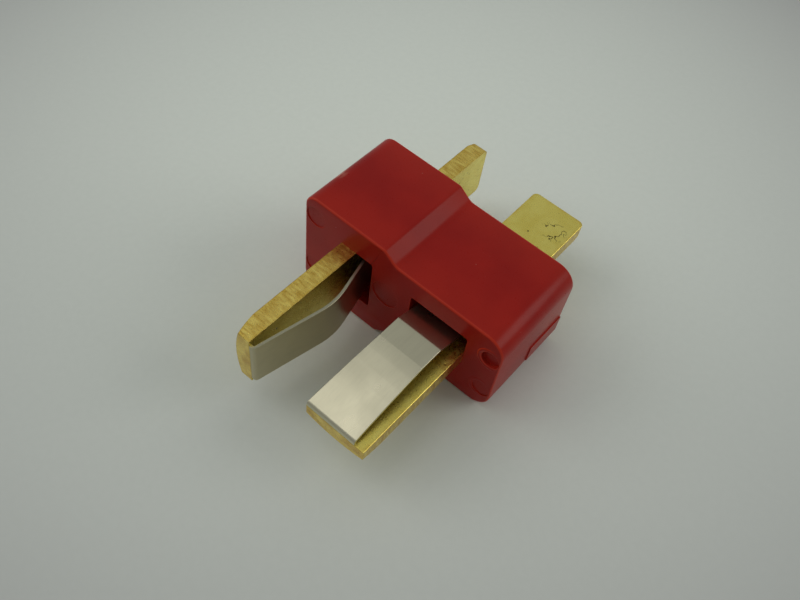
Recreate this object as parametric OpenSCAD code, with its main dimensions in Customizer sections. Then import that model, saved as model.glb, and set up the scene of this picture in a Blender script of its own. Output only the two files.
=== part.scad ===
// Two-blade battery plug, male half: a moulded housing, two plated bar contacts set at right
// angles to each other, and a bowed leaf spring riding on each blade.
// X runs across the housing, +Y from the blades to the solder tabs, and Z = 0 is the underside.

/* [Housing] */
// Width of the housing
housing_w = 16; // [15.4:0.2:20]
// Height of the tall half, which holds the vertical contact
housing_h = 8.8; // [8:0.2:11]
// Depth from the mating face to the solder face
housing_d = 7.6; // [7:0.2:12]
// Width of the tall half, up to the start of the step
tall_w = 6.55; // [6.2:0.05:6.9]
// Drop of the step at the top, and again at the underside
step_h = 0.75; // [0.5:0.05:1.1]
// Distance across which the step slopes
step_run = 1; // [0.7:0.1:1.3]
// Rounding of the two long corners of the tall half
tall_corner_r = 1; // [0.6:0.1:1.6]
// Rounding of the two long corners of the low half
low_corner_r = 1.4; // [0.8:0.1:1.8]
// Rounding where the step leaves the tall half
step_r = 0.45; // [0.4:0.05:0.7]
// Rounding where the step meets the low half
step_foot_r = 0.9; // [0.5:0.1:1.2]
// Rounding all round the mating and solder faces
edge_r = 0.15; // [0.1:0.05:0.3]

/* [Contacts] */
// Thickness of the contact bar
bar_t = 1.25; // [1:0.05:1.5]
// Width of the blades, and of the bars inside the housing
blade_w = 4.45; // [4.3:0.05:4.7]
// Width of the solder tabs
tab_w = 4.2; // [3.8:0.05:4.3]
// Length of each blade in front of the mating face
blade_l = 9.2; // [8:0.2:12]
// Length of each solder tab behind the solder face
tab_l = 6.5; // [4:0.5:9]
// Centre plane of the vertical contact, from the left side of the housing
vertical_in = 3.8; // [3.3:0.1:4]
// Centre line of the horizontal contact, from the right side of the housing
horizontal_in = 4.75; // [4:0.05:4.9]
// Amount by which the vertical contact's tab sits lower than its blade
tab_drop = 0.6; // [0:0.1:0.9]
// Amount by which the horizontal contact's tab sits nearer to the tall half than its blade
tab_shift = 0.2; // [0:0.05:0.4]
// Corner radius of the solder tabs
tab_corner_r = 0.4; // [0.2:0.05:0.8]
// Length of the rounded lead-in at each blade tip
lead_l = 1.6; // [1:0.1:2]
// Fall of the lead-in at the two outer corners of a tip
lead_corner = 0.35; // [0.2:0.05:0.6]
// Length of the rounding at the end of each solder tab
tab_end_l = 0.8; // [0.5:0.1:1.5]
// Fall of that rounding at the two outer corners of a tab
tab_end_corner = 0.3; // [0.2:0.05:0.5]
// Fall of the lead-in and of the tab's rounding at the middle of the end
end_middle = 0.05; // [0.02:0.01:0.12]
// Depth of the anchor notch in each edge of the bar, filled by the housing
notch_depth = 0.5; // [0.3:0.1:0.9]
// Length of the anchor notches
notch_l = 1.6; // [1:0.1:2]
// Distance of the anchor notches from the solder face
notch_in = 1.2; // [0.8:0.1:1.5]

/* [Springs] */
// Thickness of the spring strip
strip_t = 0.2; // [0.15:0.05:0.25]
// Width of the spring strip
strip_w = 3.7; // [3.2:0.1:3.7]
// Clearance between the horizontal blade's strip and the side of its pocket, towards the tall half
strip_gap = 0.05; // [0.02:0.01:0.3]
// Height of the turned-in nose above the blade
nose_h = 0.4; // [0.35:0.05:0.6]
// Bend radius of the nose, on the middle of the strip
nose_r = 0.14; // [0.14:0.01:0.2]
// Height of the crest above the blade
crest_h = 1.45; // [1.2:0.05:1.7]
// Distance of the crest in front of the mating face
crest_out = 3.4; // [2.8:0.1:4.2]
// Bend radius of the crest, on the middle of the strip
crest_r = 5; // [2:0.5:6]
// Depth behind the mating face at which the strip comes down on the bar
foot_in = 2; // [1.6:0.1:2.2]
// Bend radius above the foot, on the middle of the strip
foot_r = 1; // [0.5:0.1:1.2]
// Length of the foot that lies flat on the bar
foot_l = 1.6; // [1:0.1:1.8]

/* [Pockets and marks] */
// Height of each spring pocket above its bar
pocket_h = 1.4; // [1.1:0.05:1.6]
// Depth of each spring pocket
pocket_d = 2.4; // [2.4:0.1:2.8]
// Corner radius of the pocket mouths
pocket_r = 0.2; // [0.1:0.05:0.4]
// Clearance behind the end of each spring foot
foot_gap = 0.1; // [0.05:0.05:0.3]
// Radius of the ejector mark between the contacts
centre_mark_r = 1.05; // [0.6:0.05:1.1]
// Distance of the centre mark from the left side of the housing
centre_mark_in = 7.05; // [6.8:0.05:7.4]
// Height of the centre mark above the middle of the housing
centre_mark_up = 0.35; // [-0.5:0.05:0.5]
// Radius of the two ejector marks on the tall half
tall_mark_r = 0.8; // [0.5:0.05:0.85]
// Distance of the tall half's marks from the left side of the housing
tall_mark_in = 0.95; // [0.95:0.05:1.2]
// Height of the tall half's upper mark above the middle of the housing
upper_mark_up = 2.8; // [1.8:0.1:2.8]
// Depth of the tall half's lower mark below the middle of the housing
lower_mark_down = 2.2; // [1.8:0.1:2.7]
// Radius of the two ejector marks on the low half
low_mark_r = 0.65; // [0.4:0.05:0.7]
// Distance of the low half's marks from the right side of the housing
low_mark_in = 0.75; // [0.75:0.05:1]
// Height of the low half's marks above and below the middle of the housing
low_mark_up = 1.7; // [1.2:0.1:2]
// Depth of the shallow ejector marks
mark_depth = 0.06; // [0.03:0.01:0.1]
// Depth of the upper ejector mark on the low half
deep_mark_depth = 0.25; // [0.1:0.05:0.4]
// Length of the raised gate pad on the right side, measured from the solder face
gate_l = 3.4; // [2:0.2:4]
// Height of the gate pad
gate_h = 1.5; // [1:0.1:2]
// Thickness of the gate pad
gate_t = 0.08; // [0.05:0.01:0.2]

/* [Hidden] */
$fn = 48;
// Overrun of a cut past the face that it opens
over = 1;
// Steps in one rounded corner of an outline, and in one rounded edge of the housing
arc_steps = 8;
edge_steps = 4;

mid_z = housing_h / 2;
// The part is centred on its own length, from the blade tips to the ends of the tabs
tip_y = -(blade_l + housing_d + tab_l) / 2;
mating_y = tip_y + blade_l;
solder_y = mating_y + housing_d;
vertical_x = vertical_in - housing_w / 2;
horizontal_x = housing_w / 2 - horizontal_in;
face_z = bar_t / 2;

function unit(v) = v / norm(v);
function left(v) = [-v[1], v[0]];
function turn(u, w) = atan2(u[0] * w[1] - u[1] * w[0], u * w);
function spin(v, a) = [v[0] * cos(a) - v[1] * sin(a), v[0] * sin(a) + v[1] * cos(a)];

// Arc that rounds the bend at q on the way from p to s, moved d to the left of the path
function bend(p, q, s, r, d) =
    let (u = unit(q - p), a = turn(u, unit(s - q)), side = sign(a),
         centre = q - u * r * tan(abs(a) / 2) + left(u) * side * r,
         arm = -left(u) * side * (r - d * side))
    [for (k = [0 : arc_steps]) centre + spin(arm, a * k / arc_steps)];

// Closed outline with rounded corners, moved d inwards; each corner is [x, z, radius]
function closed_outline(corners, d) =
    let (n = len(corners), at = [for (c = corners) [c[0], c[1]]])
    [for (i = [0 : n - 1]) each bend(at[(i + n - 1) % n], at[i], at[(i + 1) % n], corners[i][2], d)];

// One side of a strip whose middle follows rounded bends, moved d to its left
function strip_side(path, d) =
    let (n = len(path), at = [for (c = path) [c[0], c[1]]],
         first = unit(at[1] - at[0]), last = unit(at[n - 1] - at[n - 2]))
    concat([at[0] + left(first) * d],
           [for (i = [1 : n - 2]) each bend(at[i - 1], at[i], at[i + 1], path[i][2], d)],
           [at[n - 1] + left(last) * d]);

// Corners of the housing seen from the mating side, anticlockwise from the low half's underside
housing_corners = [
    [housing_w / 2, step_h, low_corner_r],
    [housing_w / 2, housing_h - step_h, low_corner_r],
    [tall_w + step_run - housing_w / 2, housing_h - step_h, step_foot_r],
    [tall_w - housing_w / 2, housing_h, step_r],
    [-housing_w / 2, housing_h, tall_corner_r],
    [-housing_w / 2, 0, tall_corner_r],
    [tall_w - housing_w / 2, 0, step_r],
    [tall_w + step_run - housing_w / 2, step_h, step_foot_r],
];

// Each ring of the housing is [distance behind the mating face, inset of the outline]
front_rings = [for (k = [0 : edge_steps])
    let (a = 90 * k / edge_steps) [edge_r * (1 - sin(a)), edge_r * (1 - cos(a))]];
housing_rings = concat(
    [for (k = [edge_steps : -1 : 0]) front_rings[k]],
    [for (ring = front_rings) [housing_d - ring[0], ring[1]]]);

// Height of the crest's corner before it is rounded, on the middle of the strip
nose_top = nose_h - strip_t / 2;
crest_run = blade_l - crest_out;
crest_drop_run = crest_out + foot_in;
crest_bend = atan2(crest_h - nose_h, crest_run) + atan2(crest_h - strip_t, crest_drop_run);
crest_top = crest_h - strip_t / 2 + (crest_r + strip_t / 2) * (1 / cos(crest_bend / 2) - 1);

// Middle of the strip: [distance behind the blade tip, height above the blade, bend radius]
spring_path = [
    [strip_t / 2, 0, 0],
    [strip_t / 2, nose_top, nose_r],
    [crest_run, crest_top, crest_r],
    [blade_l + foot_in, strip_t / 2, foot_r],
    [blade_l + foot_in + foot_l, strip_t / 2, 0],
];

// Frames of the two contacts: local X is across the bar, and the spring lies on its +Z face
module at_vertical() {
    translate([vertical_x, 0, mid_z]) rotate([0, 90, 0]) children();
}

module at_horizontal() {
    translate([horizontal_x, 0, mid_z]) children();
}

// Flat shape of a bar seen on its spring side, with its tab moved sideways by shift
module bar_outline(shift) {
    notch_y = solder_y - notch_in - notch_l;
    tab_end = solder_y + tab_l;
    low_edge = min(-blade_w / 2, shift - tab_w / 2);
    high_edge = max(blade_w / 2, shift + tab_w / 2);
    difference() {
        union() {
            translate([-blade_w / 2, tip_y]) square([blade_w, solder_y - notch_in - tip_y]);
            translate([shift - tab_w / 2, notch_y]) square([tab_w, tab_end - tab_corner_r - notch_y]);
            translate([shift - tab_w / 2 + tab_corner_r, notch_y])
                square([tab_w - 2 * tab_corner_r, tab_end - notch_y]);
            for (side = [-1, 1])
                translate([shift + side * (tab_w / 2 - tab_corner_r), tab_end - tab_corner_r])
                    circle(r = tab_corner_r);
        }
        for (x = [low_edge + notch_depth - 2 * over, high_edge - notch_depth])
            translate([x, notch_y]) square([2 * over, notch_l]);
    }
}

// What the rounding removes from an end of a bar w wide, with the end at Y = 0. The rounding is a
// sphere that meets the bar's outer edges length behind the end. At the end it passes end_middle
// under the middle of the bar's outer face, and corner under the two outer edges.
module end_cut(w, length, corner) {
    reach = (w * w / 4 / (corner - end_middle) - 2 * bar_t + end_middle + corner) / 2;
    aside = bar_t - end_middle + reach;
    back = (pow(bar_t + reach, 2) - pow(aside, 2) + w * w / 4 + length * length) / (2 * length);
    difference() {
        translate([-w, -over, -bar_t]) cube([2 * w, back + over, 2 * bar_t]);
        translate([0, back, face_z + reach]) sphere(r = norm([aside, back]), $fn = 96);
    }
}

module flat_bar(shift) {
    translate([0, 0, -face_z]) linear_extrude(bar_t) bar_outline(shift);
}

module bar(shift) {
    difference() {
        flat_bar(shift);
        translate([0, tip_y, 0]) end_cut(blade_w, lead_l, lead_corner);
        translate([shift, solder_y + tab_l, 0]) mirror([0, 1, 0]) end_cut(tab_w, tab_end_l, tab_end_corner);
    }
}

module leaf_spring() {
    outline = concat(strip_side(spring_path, strip_t / 2),
                     [for (p = strip_side([for (k = [len(spring_path) - 1 : -1 : 0]) spring_path[k]],
                                          strip_t / 2)) p]);
    translate([-strip_w / 2, tip_y, face_z]) rotate([90, 0, 90]) linear_extrude(strip_w)
        polygon(outline);
}

// Room for a spring: the open pocket, and the narrow slot that grips its foot
module spring_pocket() {
    translate([0, mating_y - over, face_z + pocket_h / 2]) rotate([-90, 0, 0])
        linear_extrude(over + pocket_d) rounded_slot();
    translate([-blade_w / 2, mating_y, face_z - over])
        cube([blade_w, foot_in + foot_l + foot_gap, over + strip_t]);
}

// Mouth of a pocket, with its two outer corners rounded and its lower edge down in the bar
module rounded_slot() {
    for (side = [-1, 1])
        translate([side * (blade_w / 2 - pocket_r), pocket_r - pocket_h / 2]) circle(r = pocket_r);
    translate([-blade_w / 2, pocket_r - pocket_h / 2]) square([blade_w, pocket_h - pocket_r + face_z]);
    translate([pocket_r - blade_w / 2, -pocket_h / 2]) square([blade_w - 2 * pocket_r, pocket_h]);
}

module ejector_mark(x, z, r, depth) {
    translate([x, mating_y - over, z]) rotate([-90, 0, 0]) cylinder(r = r, h = over + depth);
}

module ejector_marks() {
    tall_x = tall_mark_in - housing_w / 2;
    low_x = housing_w / 2 - low_mark_in;
    ejector_mark(centre_mark_in - housing_w / 2, mid_z + centre_mark_up, centre_mark_r, mark_depth);
    ejector_mark(tall_x, mid_z + upper_mark_up, tall_mark_r, mark_depth);
    ejector_mark(tall_x, mid_z - lower_mark_down, tall_mark_r, mark_depth);
    ejector_mark(low_x, mid_z - low_mark_up, low_mark_r, mark_depth);
    ejector_mark(low_x, mid_z + low_mark_up, low_mark_r, deep_mark_depth);
}

// Solid lofted through the housing's rings, with every edge of its two faces rounded. The outline
// is the same above and below the middle, so each face is closed by strips from top to bottom.
module housing_block() {
    points = [for (ring = housing_rings) each
        [for (p = closed_outline(housing_corners, ring[1])) [p[0], mating_y + ring[0], p[1]]]];
    count = len(points) / len(housing_rings);
    last = len(points) - count;
    function above(j) = arc_steps + 1 + j;
    function below(j) = (arc_steps - j + count) % count;
    strips = [for (j = [0 : count / 2 - 2]) [above(j + 1), above(j), below(j), below(j + 1)]];
    polyhedron(points, concat(
        strips,
        [for (row = [0 : len(housing_rings) - 2], i = [0 : count - 1])
            let (a = row * count, b = (i + 1) % count) [a + i, a + b, a + count + b, a + count + i]],
        [for (s = strips) [last + s[3], last + s[2], last + s[1], last + s[0]]]));
}

module gate_pad() {
    translate([housing_w / 2 - over, solder_y - edge_r - gate_l, step_h + low_corner_r])
        cube([over + gate_t, gate_l, gate_h]);
}

module housing() {
    color([0.62, 0.1, 0.09]) difference() {
        union() {
            housing_block();
            gate_pad();
        }
        at_vertical() flat_bar(tab_drop);
        at_vertical() spring_pocket();
        at_horizontal() flat_bar(-tab_shift);
        at_horizontal() spring_pocket();
        ejector_marks();
    }
}

module vertical_contact() {
    color([0.8, 0.68, 0.26]) at_vertical() bar(tab_drop);
}

module horizontal_contact() {
    color([0.8, 0.68, 0.26]) at_horizontal() bar(-tab_shift);
}

module vertical_spring() {
    color([0.78, 0.77, 0.72]) at_vertical() leaf_spring();
}

module horizontal_spring() {
    color([0.78, 0.77, 0.72]) at_horizontal()
        translate([strip_gap + (strip_w - blade_w) / 2, 0, 0]) leaf_spring();
}

housing();
vertical_contact();
horizontal_contact();
vertical_spring();
horizontal_spring();
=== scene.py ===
"""Two-blade battery plug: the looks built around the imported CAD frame."""

import math

import bmesh
import bpy
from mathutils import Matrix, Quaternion, Vector


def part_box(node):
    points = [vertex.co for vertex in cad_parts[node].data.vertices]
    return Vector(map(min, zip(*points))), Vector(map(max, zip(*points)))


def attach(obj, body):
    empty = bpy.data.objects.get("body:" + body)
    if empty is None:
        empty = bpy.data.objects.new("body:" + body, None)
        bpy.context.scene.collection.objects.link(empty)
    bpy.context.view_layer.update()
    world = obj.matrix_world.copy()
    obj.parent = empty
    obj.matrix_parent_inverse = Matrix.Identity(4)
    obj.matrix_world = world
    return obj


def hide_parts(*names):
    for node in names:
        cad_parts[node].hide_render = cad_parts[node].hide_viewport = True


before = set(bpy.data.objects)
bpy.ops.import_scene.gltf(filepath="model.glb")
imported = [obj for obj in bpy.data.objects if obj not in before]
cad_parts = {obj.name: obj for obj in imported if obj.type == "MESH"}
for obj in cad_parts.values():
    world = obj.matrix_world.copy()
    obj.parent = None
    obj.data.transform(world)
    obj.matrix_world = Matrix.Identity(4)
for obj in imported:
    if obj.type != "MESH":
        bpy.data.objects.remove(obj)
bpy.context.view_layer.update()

MM = 0.001

# Camera: where it is, what it looks at and its sensor's width in millimetres, its roll in degrees
CAMERA_AT = (16.775, -28.253, 48.695)
CAMERA_AIM = (-0.102, -1.888, 4.4)
CAMERA_ROLL = 9.75
LENS = 38.07
SENSOR = 36

# Lights, all aimed at the origin: name, place and diameter in metres, watts, colour
LIGHTS = (
    ("ceiling", (-0.19, -0.085, 0.67), 0.36, 0.24, (1, 0.99, 0.95)),
    ("window", (0.5, 0.35, 0.38), 0.45, 1.2, (1, 0.97, 0.9)),
    ("lamp", (-0.52, -0.24, 0.38), 0.5, 0.9, (1, 0.98, 0.93)),
)

# The room's own light: its colour, the side it is strongest on, and its weakest and strongest
ROOM_COLOUR = (0.96, 1, 0.97)
ROOM_SIDE = (-0.7, 0.5, 0.3)
ROOM_STRENGTH = (0.2, 0.44)

# How far the plug leans on the sheet in degrees, half the sheet's width in metres, and how far
# below the plug it stays, in millimetres
LEAN = 5.2
FLOOR = 1.2
FLOOR_GAP = 0.003

# Where the painted pool of light on the sheet is brightest and how far off it has darkened to its
# painted outer tone, in millimetres
PAPER_PAINTED_LIGHT_AT = (-12, 12, 0)
PAPER_PAINTED_FALLOFF = 52

# Wear and painted shade, in millimetres: the middle and reach of the housing's rubbed edge and of
# the scratches on a tab, and where along Y the brown painted shade at the blades' roots begins and
# is full
RUBBED_AT = (-7.85, 0.4, 8.35)
RUBBED_REACH = 0.8
SCRATCHED_AT = (4.0, 9.5, 5.0)
SCRATCHED_REACH = 1.2
ROOT_SHADE_SPAN = (-5.2, -3.0)

# Broken edges: width on the housing, the bars and the strips, in millimetres. An edge is broken
# above one angle and shaded as sharp above the other, in degrees
HOUSING_EDGE = 0.05
BAR_EDGE = 0.1
STRIP_EDGE = 0.03
BROKEN_ABOVE = 35
SHARP_ABOVE = 28
EDGE_STEPS = 2

# The lying strip: thickness, nose height and radius, bow of the rise, how far along its bends come,
# the radii of the bends, and how much one side is drawn in from the nose to the first bend
STRIP_T = 0.2
STRIP_NOSE = 0.39
STRIP_NOSE_R = 0.24
STRIP_BOW = 0.07
STRIP_BOW_STEPS = 6
STRIP_BOW_R = 1
STRIP_BENDS = (5.8, 7.5, 11.2)
STRIP_BEND_R = (0.4, 0.5, 1)
STRIP_TAPER = 0.35
DEGREES_A_STEP = 6

# The raised lips round two ejector marks: the face they stand on, their centres and heights, their
# radii, the arc they cover in degrees, how deep their rims are sunk, and steps along and across
MATING_FACE = -2.45
LIPS = ((7.25, 6.1, 0.06), (7.25, 2.7, 0.03))
LIP_IN = 0.66
LIP_OUT = 0.98
LIP_FROM = 55
LIP_ARC = 250
LIP_SUNK = 0.01
LIP_ALONG = 40
LIP_ACROSS = 8

# Colours, linear
RED = (0.3, 0.01, 0.007)
RED_DEEP = (0.285, 0.0095, 0.007)
RED_BRIGHT = (0.33, 0.012, 0.008)
# The next two are painted highlight: paler orange-red on the housing's roundings and edges
RED_ROUNDING_HIGHLIGHT = (0.58, 0.045, 0.018)
RED_EDGE_HIGHLIGHT = (0.5, 0.035, 0.015)
RED_DUST = (0.5, 0.22, 0.19)
RED_RUBBED = (0.6, 0.24, 0.17)
GOLD = (0.86, 0.71, 0.18)
GOLD_BROAD = ((0.92, 0.79, 0.205), (0.84, 0.69, 0.15))
GOLD_SHEARED = ((0.96, 0.75, 0.20), (0.62, 0.38, 0.065))
GOLD_GRAIN = (0.70, 0.54, 0.11)
GOLD_WORN = (0.80, 0.55, 0.10)
GOLD_RIM = (0.22, 0.14, 0.035)
GOLD_PIT = (0.12, 0.08, 0.02)
# Painted shade: a browner gold where the blades meet the housing
GOLD_ROOT_SHADE = (0.50, 0.24, 0.04)
GOLD_SCRATCH = (0.07, 0.045, 0.015)
# The upright strip is the same steel as the lying one; its darker, browner tone is painted shade
# and painted warm reflection
STEEL_UPRIGHT_SHADED = (0.55, 0.49, 0.32)
STEEL_FLAT = (0.64, 0.60, 0.445)
STEEL_SLIT = (0.42, 0.40, 0.29)
PAPER = (0.8, 0.84, 0.8)
PAPER_GRAIN = ((0.78, 0.83, 0.78), (0.80, 0.85, 0.80))
# Painted shade: the sheet's darker tone away from its painted pool of light
PAPER_PAINTED_DARK = (0.40, 0.405, 0.41)

X = (1, 0, 0)
Y = (0, 1, 0)
Z = (0, 0, 1)


def mm(*values):
    return Vector(values) * MM


def even(scale):
    return (scale, scale, scale)


def shown(name, data):
    """A new object that shows this data, put in the scene."""
    made = bpy.data.objects.new(name, data)
    bpy.context.scene.collection.objects.link(made)
    return made


# ---------------------------------------------------------------- materials

class Shader:
    """A node material with a principled shader and short calls for the nodes that feed it."""

    def __init__(self, name, metallic, colour, roughness):
        self.material = bpy.data.materials.new(name)
        self.material.use_nodes = True
        self.tree = self.material.node_tree
        self.principled = self.tree.nodes["Principled BSDF"]
        self.principled.inputs["Metallic"].default_value = metallic
        self.principled.inputs["Base Color"].default_value = (*colour, 1)
        self.principled.inputs["Roughness"].default_value = roughness
        self.place = self.node("ShaderNodeTexCoord").outputs["Object"]
        self.normal = self.node("ShaderNodeNewGeometry").outputs["Normal"]

    def node(self, kind, **settings):
        made = self.tree.nodes.new(kind)
        for key, value in settings.items():
            setattr(made, key, value)
        return made

    def link(self, source, target):
        self.tree.links.new(source, target)

    def stretched(self, scale):
        """The place on the piece, in millimetres, scaled along each axis."""
        mapping = self.node("ShaderNodeMapping")
        mapping.inputs["Scale"].default_value = [s / MM for s in scale]
        self.link(self.place, mapping.inputs["Vector"])
        return mapping.outputs["Vector"]

    def noise(self, scale, detail=3, roughness=0.5):
        made = self.node("ShaderNodeTexNoise")
        made.inputs["Scale"].default_value = 1
        made.inputs["Detail"].default_value = detail
        made.inputs["Roughness"].default_value = roughness
        self.link(self.stretched(scale), made.inputs["Vector"])
        return made.outputs["Fac"]

    def spots(self, scale):
        """How far the nearest of many scattered points is."""
        made = self.node("ShaderNodeTexVoronoi")
        made.inputs["Scale"].default_value = 1
        self.link(self.stretched(scale), made.inputs["Vector"])
        return made.outputs["Distance"]

    def ramp(self, source, low, high, from_low=0.0, from_high=1.0):
        """From low to high as the source goes from from_low to from_high, and level beyond them."""
        made = self.node("ShaderNodeMapRange")
        made.inputs["From Min"].default_value = from_low
        made.inputs["From Max"].default_value = from_high
        made.inputs["To Min"].default_value = low
        made.inputs["To Max"].default_value = high
        self.link(source, made.inputs["Value"])
        return made.outputs["Result"]

    def mix(self, factor, first, second):
        made = self.node("ShaderNodeMix", data_type="RGBA")
        self.link(factor, made.inputs["Factor"])
        for value, target in ((first, made.inputs[6]), (second, made.inputs[7])):
            if isinstance(value, tuple):
                target.default_value = (*value, 1)
            else:
                self.link(value, target)
        return made.outputs[2]

    def bump(self, height, depth, before=None):
        made = self.node("ShaderNodeBump")
        made.inputs["Distance"].default_value = depth * MM
        self.link(height, made.inputs["Height"])
        if before is not None:
            self.link(before, made.inputs["Normal"])
        return made.outputs["Normal"]

    def times(self, first, second):
        made = self.node("ShaderNodeMath", operation="MULTIPLY")
        self.link(first, made.inputs[0])
        self.link(second, made.inputs[1])
        return made.outputs["Value"]

    def dot(self, first, second):
        made = self.node("ShaderNodeVectorMath", operation="DOT_PRODUCT")
        self.link(first, made.inputs[0])
        if isinstance(second, tuple):
            made.inputs[1].default_value = second
        else:
            self.link(second, made.inputs[1])
        return made.outputs["Value"]

    def along_y(self):
        made = self.node("ShaderNodeSeparateXYZ")
        self.link(self.place, made.inputs[0])
        return made.outputs["Y"]

    def facing(self, axis):
        """How squarely the surface faces along an axis, either way: 1 faces it, 0 lies along it."""
        made = self.node("ShaderNodeMath", operation="ABSOLUTE")
        self.link(self.dot(self.normal, axis), made.inputs[0])
        return made.outputs["Value"]

    def edges(self, radius):
        """1 on the edges of the piece, fading to 0 at a distance from them, in millimetres."""
        rounded = self.node("ShaderNodeBevel", samples=6)
        rounded.inputs["Radius"].default_value = radius * MM
        return self.ramp(self.dot(rounded.outputs["Normal"], self.normal), 1, 0, 0.80, 0.985)

    def distance(self, at):
        """How far off a place on the piece is, in metres."""
        away = self.node("ShaderNodeVectorMath", operation="DISTANCE")
        away.inputs[1].default_value = mm(*at)
        self.link(self.place, away.inputs[0])
        return away.outputs["Value"]

    def near(self, at, radius):
        """1 at a place on the piece, fading to 0 at a distance from it, in millimetres."""
        return self.ramp(self.distance(at), 1, 0, radius * MM * 0.4, radius * MM)

    def finish(self, colour=None, roughness=None, normal=None):
        for source, name in ((colour, "Base Color"), (roughness, "Roughness"), (normal, "Normal")):
            if source is not None:
                self.link(source, self.principled.inputs[name])
        return self.material


def nylon():
    """Dyed nylon: even red, with a painted highlight that makes the edges and roundings paler, a
    little dust and one rubbed edge.
    """
    shader = Shader("housing_nylon", 0, RED, 0.3)
    shader.principled.inputs["Specular IOR Level"].default_value = 0.14
    cloud = shader.noise(even(0.35), 4)
    grain = shader.noise(even(9), 3)
    colour = shader.mix(shader.ramp(cloud, 0, 1, 0.35, 0.65), RED_DEEP, RED_BRIGHT)
    # Painted highlight: paler orange-red on the roundings towards the front and back, and on all
    # edges
    square = shader.facing(Y)
    rounding_highlight = shader.times(shader.ramp(square, 0, 1, 0.03, 0.3),
                            shader.ramp(square, 1, 0, 0.9, 0.99))
    colour = shader.mix(shader.ramp(rounding_highlight, 0, 0.6), colour, RED_ROUNDING_HIGHLIGHT)
    colour = shader.mix(shader.ramp(shader.edges(0.3), 0, 0.45), colour, RED_EDGE_HIGHLIGHT)
    dust = shader.times(shader.ramp(shader.spots(even(1.3)), 1, 0, 0.03, 0.06),
                        shader.ramp(cloud, 0, 0.8, 0.5, 0.6))
    colour = shader.mix(dust, colour, RED_DUST)
    rubbed = shader.times(shader.near(RUBBED_AT, RUBBED_REACH),
                          shader.ramp(shader.noise((3, 1.2, 3), 4), 0, 0.8, 0.4, 0.55))
    colour = shader.mix(rubbed, colour, RED_RUBBED)
    roughness = shader.ramp(grain, 0.27, 0.32, 0.3, 0.7)
    return shader.finish(colour, roughness, shader.bump(grain, 0.0015))


def gold(name, through, scratched=False):
    """Gold-plated brass bar. Its sheared faces, not square to the axis through it, are browner."""
    shader = Shader(name, 1, GOLD, 0.3)
    sheared = shader.ramp(shader.facing(through), 1, 0, 0.6, 0.85)
    grain = shader.noise(even(11), 3)
    stain = shader.noise(even(0.9), 5, 0.65)
    ridges = shader.noise((1.2, 5, 1.2), 4, 0.6)
    broad_tone = shader.mix(shader.ramp(stain, 0, 1, 0.38, 0.66), *GOLD_BROAD)
    sheared_tone = shader.mix(shader.ramp(ridges, 0, 1, 0.36, 0.66), *GOLD_SHEARED)
    colour = shader.mix(sheared, broad_tone, sheared_tone)
    colour = shader.mix(shader.ramp(grain, 0, 0.35, 0.5, 0.72), colour, GOLD_GRAIN)
    patchy = shader.ramp(shader.noise(even(1.6), 4), 0.25, 1, 0.40, 0.60)
    colour = shader.mix(shader.times(shader.edges(0.55), patchy), colour, GOLD_WORN)
    colour = shader.mix(shader.times(shader.edges(0.13), patchy), colour, GOLD_RIM)
    pits = shader.times(shader.ramp(shader.spots(even(2.0)), 1, 0, 0.08, 0.19),
                        shader.ramp(stain, 0, 1, 0.50, 0.58))
    pits = shader.times(pits, shader.ramp(sheared, 1, 0))
    colour = shader.mix(pits, colour, GOLD_PIT)
    # Painted shade: browner towards the root, where the bar meets the housing
    root = shader.ramp(shader.along_y(), 0, 0.9, ROOT_SHADE_SPAN[0] * MM, ROOT_SHADE_SPAN[1] * MM)
    root = shader.times(root, shader.ramp(shader.along_y(), 1, 0, 0, MM))
    root = shader.times(root, shader.ramp(shader.noise(even(3), 4), 0.2, 1, 0.35, 0.6))
    colour = shader.mix(root, colour, GOLD_ROOT_SHADE)
    if scratched:
        wander = shader.noise(even(0.8), 3, 0.65)
        crack = shader.times(shader.ramp(wander, 0, 1, 0.47, 0.5),
                             shader.ramp(wander, 1, 0, 0.5, 0.53))
        crack = shader.times(crack, shader.near(SCRATCHED_AT, SCRATCHED_REACH))
        colour = shader.mix(shader.ramp(crack, 0, 1, 0.2, 0.6), colour, GOLD_SCRATCH)
    roughness = shader.ramp(grain, 0.24, 0.40, 0.3, 0.7)
    normal = shader.bump(shader.times(ridges, sheared), 0.022, shader.bump(pits, -0.02))
    return shader.finish(colour, roughness, shader.bump(grain, 0.008, normal))


def steel(name, across, tone):
    """Rolled strip: fine brushing along it, a few smudges, and dull slit edges facing across it."""
    shader = Shader(name, 1, tone, 0.3)
    slit = shader.ramp(shader.facing(across), 0, 1, 0.6, 0.85)
    brushing = shader.noise((7, 0.5, 7), 3)
    smudge = shader.noise((0.5, 0.4, 0.5), 2)
    smudged_tone = tuple(0.92 * t for t in tone)
    brushed_tone = tuple(0.8 * t for t in tone)
    face_tone = shader.mix(shader.ramp(smudge, 0, 1, 0.35, 0.65), tone, smudged_tone)
    face_tone = shader.mix(shader.ramp(brushing, 0, 0.3, 0.45, 0.75), face_tone, brushed_tone)
    colour = shader.mix(slit, face_tone, STEEL_SLIT)
    roughness = shader.ramp(smudge, 0.27, 0.33, 0.3, 0.7)
    return shader.finish(colour, roughness)


def paper():
    """Pale matt paper, a little mottled, with a painted pool of light: painted darker away from its
    brightest place.
    """
    shader = Shader("paper_sheet", 0, PAPER, 0.6)
    shader.principled.inputs["Specular IOR Level"].default_value = 0.1
    grain = shader.noise(even(2), 3)
    tone = shader.mix(shader.ramp(grain, 0, 1, 0.3, 0.7), *PAPER_GRAIN)
    # Painted light: the sheet darkens away from its painted brightest place
    square = shader.node("ShaderNodeMath", operation="POWER")
    shader.link(shader.distance(PAPER_PAINTED_LIGHT_AT), square.inputs[0])
    square.inputs[1].default_value = 2
    painted_falloff = shader.ramp(square.outputs["Value"], 0, 1, 0, (PAPER_PAINTED_FALLOFF * MM) ** 2)
    return shader.finish(shader.mix(painted_falloff, tone, PAPER_PAINTED_DARK))


# ------------------------------------------------------------------- pieces

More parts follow.
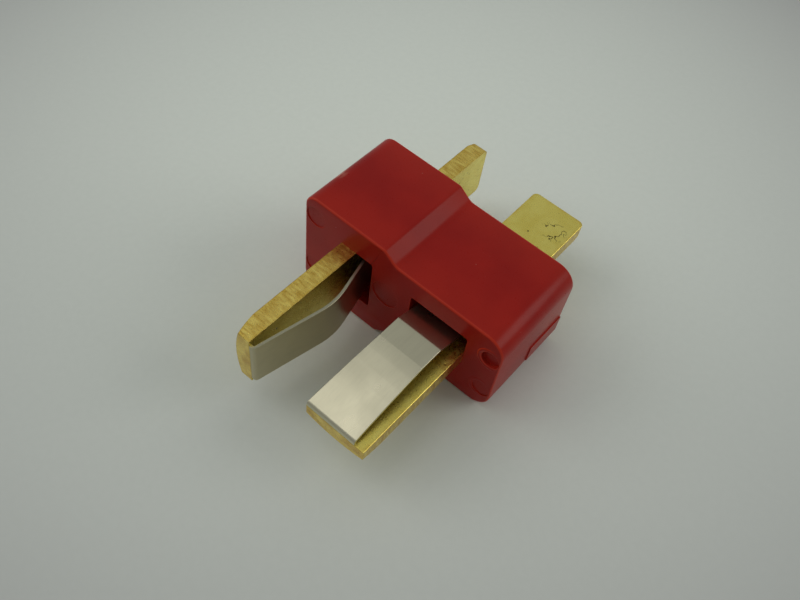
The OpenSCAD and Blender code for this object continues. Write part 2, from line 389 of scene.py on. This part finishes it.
def dressed(node, material, edge, work=None):
    """A copy of a CAD piece, or the shape given for it, with its sharp edges broken."""
    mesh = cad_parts[node].data.copy()
    piece = shown(node + "_finish", mesh)
    if work is None:
        work = copied(mesh)
    for face in work.faces:
        face.smooth = True
        face.material_index = 0
    sharp = math.radians(SHARP_ABOVE)
    for e in work.edges:
        e.smooth = len(e.link_faces) == 2 and e.calc_face_angle(0) < sharp
    work.to_mesh(mesh)
    work.free()
    mesh.materials.clear()
    mesh.materials.append(material)
    bevel = piece.modifiers.new("edges", "BEVEL")
    bevel.width = edge * MM
    bevel.segments = EDGE_STEPS
    bevel.limit_method = "ANGLE"
    bevel.angle_limit = math.radians(BROKEN_ABOVE)
    bevel.harden_normals = True
    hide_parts(node)
    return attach(piece, "root")


def copied(mesh):
    """The mesh with its doubled points joined and its flat faces made whole."""
    work = bmesh.new()
    work.from_mesh(mesh)
    bmesh.ops.remove_doubles(work, verts=work.verts, dist=0.0005 * MM)
    bmesh.ops.dissolve_limit(work, angle_limit=math.radians(0.5), verts=work.verts,
                             edges=work.edges)
    return work


def swept(rows, closed_across=True):
    """Faces between rows of points; each row is joined to the next, and is a loop or a line."""
    work = bmesh.new()
    grid = [[work.verts.new(p) for p in row] for row in rows]
    count = len(rows[0])
    for near, far in zip(grid, grid[1:]):
        for k in range(count if closed_across else count - 1):
            work.faces.new((near[k], near[(k + 1) % count], far[(k + 1) % count], far[k]))
    if closed_across:
        work.faces.new(grid[0])
        work.faces.new(reversed(grid[-1]))
    bmesh.ops.recalc_face_normals(work, faces=work.faces)
    return work


def strip_path(length, height):
    """The strip's outer face from its nose to its foot, as (along, up), with its bends rounded."""
    lift = height - STRIP_NOSE
    corners = [(0, 0, 0), (0, STRIP_NOSE, STRIP_NOSE_R)]
    for k in range(1, STRIP_BOW_STEPS):
        t = k / STRIP_BOW_STEPS
        bow = 4 * STRIP_BOW * t * (1 - t)
        corners.append((STRIP_BENDS[0] * t, STRIP_NOSE + lift * t + bow, STRIP_BOW_R))
    for along, up, radius in zip(STRIP_BENDS, (height, height, STRIP_T), STRIP_BEND_R):
        corners.append((along, up, radius))
    corners.append((length, STRIP_T, 0))
    path = []
    for k, (along, up, radius) in enumerate(corners):
        here = Vector((along, up))
        if radius == 0:
            path.append(here)
            continue
        back = (Vector(corners[k - 1][:2]) - here).normalized()
        ahead = (Vector(corners[k + 1][:2]) - here).normalized()
        turn = math.pi - back.angle(ahead)
        reach = radius * math.tan(turn / 2)
        centre = here + (back + ahead).normalized() * radius / math.cos(turn / 2)
        start = here + back * reach - centre
        end = here + ahead * reach - centre
        steps = max(2, round(math.degrees(turn) / DEGREES_A_STEP))
        for j in range(steps + 1):
            path.append(centre + start.lerp(end, j / steps).normalized() * radius)
    return path


def strip_shape():
    """The lying strip, bent as crisply as on the real plug and drawn in a little on one side."""
    low, high = (Vector(corner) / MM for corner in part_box("horizontal_spring"))
    path = strip_path(high.y - low.y, high.z - low.z)
    rows = []
    for k, here in enumerate(path):
        way = (path[min(k + 1, len(path) - 1)] - path[max(k - 1, 0)]).normalized()
        inner = here + Vector((way.y, -way.x)) * STRIP_T
        near = low.x + STRIP_TAPER * min(here.x / STRIP_BENDS[0], 1)
        loop = ((near, here), (high.x, here), (high.x, inner), (near, inner))
        rows.append([mm(x, low.y + at.x, low.z + at.y) for x, at in loop])
    return swept(rows)


def lip_row(x, z, peak, along):
    """Points across a lip, from its inner rim to its outer one, at a share of its arc."""
    angle = math.radians(LIP_FROM + LIP_ARC * along / LIP_ALONG)
    height = peak * math.sin(math.pi * along / LIP_ALONG) ** 0.5
    row = []
    for j in range(LIP_ACROSS + 1):
        radius = LIP_IN + (LIP_OUT - LIP_IN) * j / LIP_ACROSS
        out = height * math.sin(math.pi * j / LIP_ACROSS) - LIP_SUNK
        row.append(mm(x + radius * math.cos(angle), MATING_FACE - out,
                      z + radius * math.sin(angle)))
    return row


def housing_shape():
    """The housing, with the raised lips round the two ejector marks at its low end."""
    work = copied(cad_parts["housing"].data)
    for x, z, peak in LIPS:
        rows = [lip_row(x, z, peak, k) for k in range(LIP_ALONG + 1)]
        lip = swept(rows, closed_across=False)
        lip_mesh = bpy.data.meshes.new("lip")
        lip.to_mesh(lip_mesh)
        lip.free()
        work.from_mesh(lip_mesh)
        bpy.data.meshes.remove(lip_mesh)
    return work


# -------------------------------------------------------------------- scene

def floor():
    """The sheet under the plug. The plug leans on its low half's edge, so the sheet tilts."""
    rise = math.tan(math.radians(LEAN))
    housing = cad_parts["housing"]
    corners = [housing.matrix_world @ v.co for v in housing.data.vertices]
    low = min(v.z - v.x * rise for v in corners)
    mesh = bpy.data.meshes.new("paper_sheet")
    rim = [(-FLOOR, -FLOOR, 0), (FLOOR, -FLOOR, 0), (FLOOR, FLOOR, 0), (-FLOOR, FLOOR, 0)]
    mesh.from_pydata(rim, [], [(0, 1, 2, 3)])
    mesh.materials.append(paper())
    sheet = shown("paper_sheet", mesh)
    sheet.location = (0, 0, low - FLOOR_GAP * MM)
    sheet.rotation_euler = (0, -math.radians(LEAN), 0)


def area_light(name, at, size, power, colour):
    """A round light that is aimed at the origin."""
    data = bpy.data.lights.new(name, "AREA")
    data.shape = "DISK"
    data.size = size
    data.energy = power
    data.color = colour
    lamp = shown(name, data)
    lamp.location = Vector(at)
    lamp.rotation_mode = "QUATERNION"
    lamp.rotation_quaternion = (-Vector(at)).to_track_quat("-Z", "Y")


def lights():
    """The room's light, stronger from one side, and the three round lights."""
    world = bpy.data.worlds.new("room")
    world.use_nodes = True
    nodes, links = world.node_tree.nodes, world.node_tree.links
    background = nodes["Background"]
    background.inputs["Color"].default_value = (*ROOM_COLOUR, 1)
    place = nodes.new("ShaderNodeTexCoord")
    toward = nodes.new("ShaderNodeVectorMath")
    toward.operation = "DOT_PRODUCT"
    toward.inputs[1].default_value = ROOM_SIDE
    strength = nodes.new("ShaderNodeMapRange")
    strength.inputs["From Min"].default_value = -1
    strength.inputs["To Min"].default_value = ROOM_STRENGTH[0]
    strength.inputs["To Max"].default_value = ROOM_STRENGTH[1]
    links.new(place.outputs["Generated"], toward.inputs[0])
    links.new(toward.outputs["Value"], strength.inputs["Value"])
    links.new(strength.outputs["Result"], background.inputs["Strength"])
    bpy.context.scene.world = world
    for light in LIGHTS:
        area_light(*light)


def camera():
    data = bpy.data.cameras.new("camera")
    data.lens = LENS
    data.sensor_width = SENSOR
    data.clip_start = 0.001
    data.clip_end = 10
    eye = shown("camera", data)
    eye.location = mm(*CAMERA_AT)
    gaze = mm(*CAMERA_AIM) - eye.location
    roll = Quaternion(Z, math.radians(CAMERA_ROLL))
    eye.rotation_mode = "QUATERNION"
    eye.rotation_quaternion = gaze.to_track_quat("-Z", "Y") @ roll
    bpy.context.scene.camera = eye


bpy.context.scene.view_settings.view_transform = "Standard"
camera()
lights()
floor()
dressed("housing", nylon(), HOUSING_EDGE, housing_shape())
dressed("vertical_contact", gold("gold_upright", X), BAR_EDGE)
dressed("horizontal_contact", gold("gold_flat", Z, True), BAR_EDGE)
# The upright strip's darker, browner tone is painted shade and painted warm reflection
dressed("vertical_spring", steel("steel_upright", Z, STEEL_UPRIGHT_SHADED), STRIP_EDGE)
dressed("horizontal_spring", steel("steel_flat", X, STEEL_FLAT), STRIP_EDGE,
        strip_shape())
